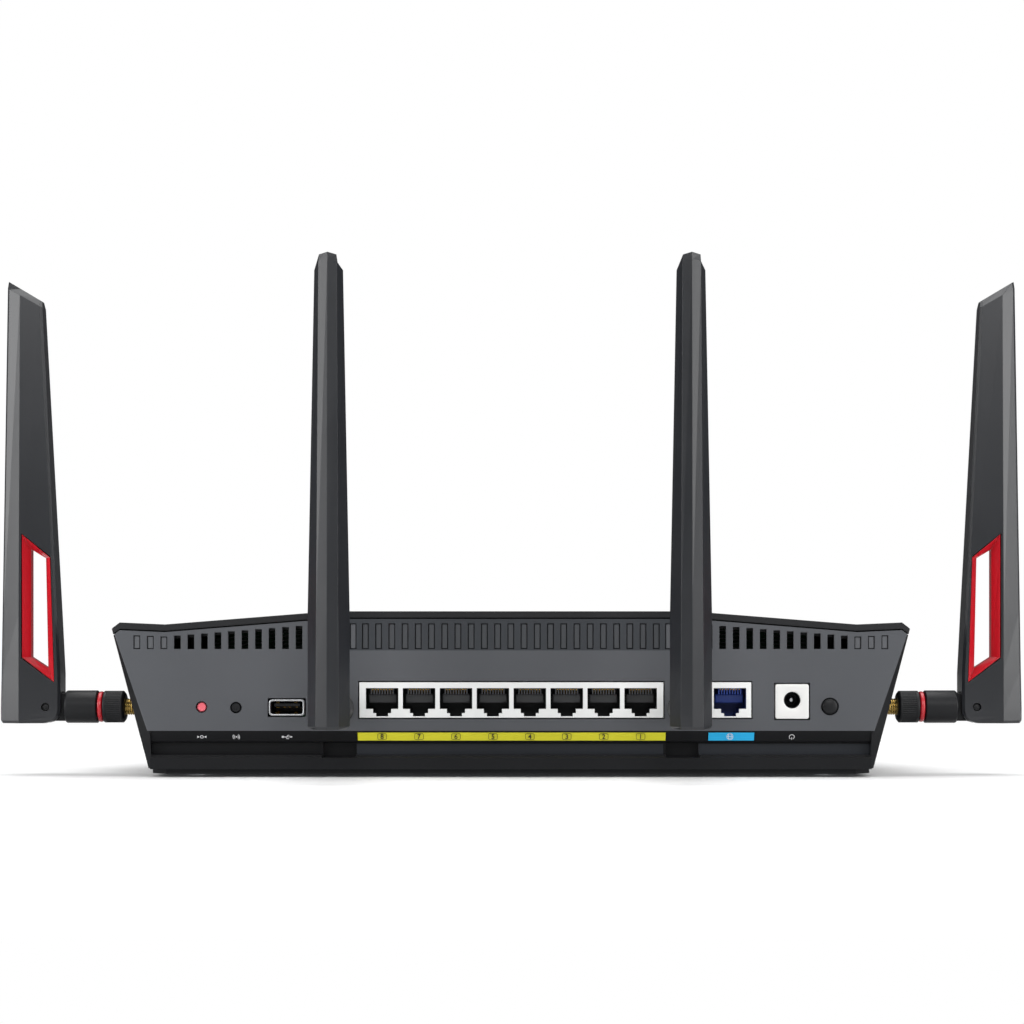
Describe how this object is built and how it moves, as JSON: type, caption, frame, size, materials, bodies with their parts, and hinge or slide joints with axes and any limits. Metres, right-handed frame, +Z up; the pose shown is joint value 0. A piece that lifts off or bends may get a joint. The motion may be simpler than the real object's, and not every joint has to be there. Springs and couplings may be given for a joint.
{
  "type": "wireless router",
  "caption": "Low wedge-shaped wireless router with tilting screw-on blade antennas, network sockets, power inlet and push buttons on its rear panel.",
  "frame": {"origin": "under the middle of the whole part, at the level of the surface it stands on", "axes": "+X to the right as seen from behind at the socket panel, +Y from the socket panel toward the front, +Z up"},
  "size_m": [0.3924, 0.2358, 0.1892],
  "materials": {
    "cover": "fine satin moulded plastic",
    "case": "fine matt moulded plastic, grey behind the sockets and black at the sides",
    "accent": "glossy red",
    "window": "smoked gloss",
    "circuit_board": "green solder mask",
    "heatsink": "extruded",
    "steel": "bright plated",
    "socket_frame": "bright white",
    "black_plastic": "fine matt",
    "blue_plastic": "fine matt",
    "white_plastic": "satin",
    "brass": "gold plated",
    "yellow_print": "printed strip with port numbers",
    "cyan_print": "printed strip with a plain round icon",
    "rubber": "matt",
    "reset_plastic": "translucent red",
    "antenna_plastic": "fine matt"
  },
  "bodies": {
    "root": {"bottom_case": "case", "top_cover": "cover", "accent_stripe": "accent", "light_window": "window", "main_board": "circuit_board", "heatsink": "heatsink", "shield_can": "steel", "lan_shield": "socket_frame", "lan_housing": "black_plastic", "wan_shield": "socket_frame", "wan_housing": "blue_plastic", "power_jack": "white_plastic", "power_jack_pin": "brass", "lan_label": "yellow_print", "wan_label": "cyan_print", "usb_rear_shell": "steel", "usb_rear_tongue": "black_plastic", "usb_front_shell": "steel", "foot_rear_left": "rubber", "foot_rear_right": "rubber", "foot_front_left": "rubber", "foot_front_right": "rubber", "screw_rear_left": "steel", "screw_rear_right": "steel", "screw_front_left": "steel", "screw_front_right": "steel", "left_jack": "brass", "right_jack": "brass", "rear_left_jack": "brass", "rear_right_jack": "brass"},
    "power_button": {"power_button": "black_plastic"},
    "pairing_button": {"pairing_button": "black_plastic"},
    "reset_button": {"reset_button": "reset_plastic"},
    "radio_button": {"radio_button": "black_plastic"},
    "light_button": {"light_button": "black_plastic"},
    "left_nut_turn": {"left_nut": "black_plastic"},
    "left_elbow_turn": {"left_elbow": "black_plastic", "left_ring": "accent", "left_hinge_pin": "black_plastic"},
    "left_blade_tilt": {"left_blade": "antenna_plastic", "left_window_trim": "accent"},
    "right_nut_turn": {"right_nut": "black_plastic"},
    "right_elbow_turn": {"right_elbow": "black_plastic", "right_ring": "accent", "right_hinge_pin": "black_plastic"},
    "right_blade_tilt": {"right_blade": "antenna_plastic", "right_window_trim": "accent"},
    "rear_left_nut_turn": {"rear_left_nut": "black_plastic"},
    "rear_left_elbow_turn": {"rear_left_elbow": "black_plastic", "rear_left_ring": "accent", "rear_left_hinge_pin": "black_plastic"},
    "rear_left_blade_tilt": {"rear_left_blade": "antenna_plastic", "rear_left_window_trim": "accent"},
    "rear_right_nut_turn": {"rear_right_nut": "black_plastic"},
    "rear_right_elbow_turn": {"rear_right_elbow": "black_plastic", "rear_right_ring": "accent", "rear_right_hinge_pin": "black_plastic"},
    "rear_right_blade_tilt": {"rear_right_blade": "antenna_plastic", "rear_right_window_trim": "accent"}
  },
  "joints": [
    {"name": "power_button_press", "type": "slide", "parent": "root", "child": "power_button", "axis": [0, 1, 0], "range_m": [0, 0.0015], "stiffness_N_per_m": 400, "springref_m": -0.0005},
    {"name": "pairing_button_press", "type": "slide", "parent": "root", "child": "pairing_button", "axis": [0, 1, 0], "range_m": [0, 0.0007], "stiffness_N_per_m": 400, "springref_m": -0.0005},
    {"name": "reset_button_press", "type": "slide", "parent": "root", "child": "reset_button", "axis": [0, 1, 0], "range_m": [0, 0.0007], "stiffness_N_per_m": 400, "springref_m": -0.0005},
    {"name": "radio_button_press", "type": "slide", "parent": "root", "child": "radio_button", "axis": [0, -1, 0], "range_m": [0, 0.0007], "stiffness_N_per_m": 400, "springref_m": -0.0005},
    {"name": "light_button_press", "type": "slide", "parent": "root", "child": "light_button", "axis": [0, -1, 0], "range_m": [0, 0.0007], "stiffness_N_per_m": 400, "springref_m": -0.0005},
    {"name": "left_nut_spin", "type": "hinge", "parent": "root", "child": "left_nut_turn", "pos_m": [-0.15212, -0.04446, 0.026], "axis": [-1, 0, 0], "continuous": true},
    {"name": "left_swivel", "type": "hinge", "parent": "root", "child": "left_elbow_turn", "pos_m": [-0.16477, -0.04446, 0.026], "axis": [1, 0, 0], "range_deg": [-90, 90]},
    {"name": "left_tilt", "type": "hinge", "parent": "left_elbow_turn", "child": "left_blade_tilt", "pos_m": [-0.17777, -0.04446, 0.026], "axis": [0, -1, 0], "range_deg": [0, 90]},
    {"name": "right_nut_spin", "type": "hinge", "parent": "root", "child": "right_nut_turn", "pos_m": [0.15212, -0.04446, 0.026], "axis": [1, 0, 0], "continuous": true},
    {"name": "right_swivel", "type": "hinge", "parent": "root", "child": "right_elbow_turn", "pos_m": [0.16477, -0.04446, 0.026], "axis": [1, 0, 0], "range_deg": [-90, 90]},
    {"name": "right_tilt", "type": "hinge", "parent": "right_elbow_turn", "child": "right_blade_tilt", "pos_m": [0.17777, -0.04446, 0.026], "axis": [0, 1, 0], "range_deg": [0, 90]},
    {"name": "rear_left_nut_spin", "type": "hinge", "parent": "root", "child": "rear_left_nut_turn", "pos_m": [-0.0646, -0.07381, 0.026], "axis": [0, -1, 0], "continuous": true},
    {"name": "rear_left_swivel", "type": "hinge", "parent": "root", "child": "rear_left_elbow_turn", "pos_m": [-0.0646, -0.08646, 0.026], "axis": [0, 1, 0], "range_deg": [-90, 40]},
    {"name": "rear_left_tilt", "type": "hinge", "parent": "rear_left_elbow_turn", "child": "rear_left_blade_tilt", "pos_m": [-0.0646, -0.09946, 0.026], "axis": [1, 0, 0], "range_deg": [0, 90]},
    {"name": "rear_right_nut_spin", "type": "hinge", "parent": "root", "child": "rear_right_nut_turn", "pos_m": [0.0646, -0.07381, 0.026], "axis": [0, -1, 0], "continuous": true},
    {"name": "rear_right_swivel", "type": "hinge", "parent": "root", "child": "rear_right_elbow_turn", "pos_m": [0.0646, -0.08646, 0.026], "axis": [0, 1, 0], "range_deg": [-40, 90]},
    {"name": "rear_right_tilt", "type": "hinge", "parent": "rear_right_elbow_turn", "child": "rear_right_blade_tilt", "pos_m": [0.0646, -0.09946, 0.026], "axis": [1, 0, 0], "range_deg": [0, 90]}
  ]
}
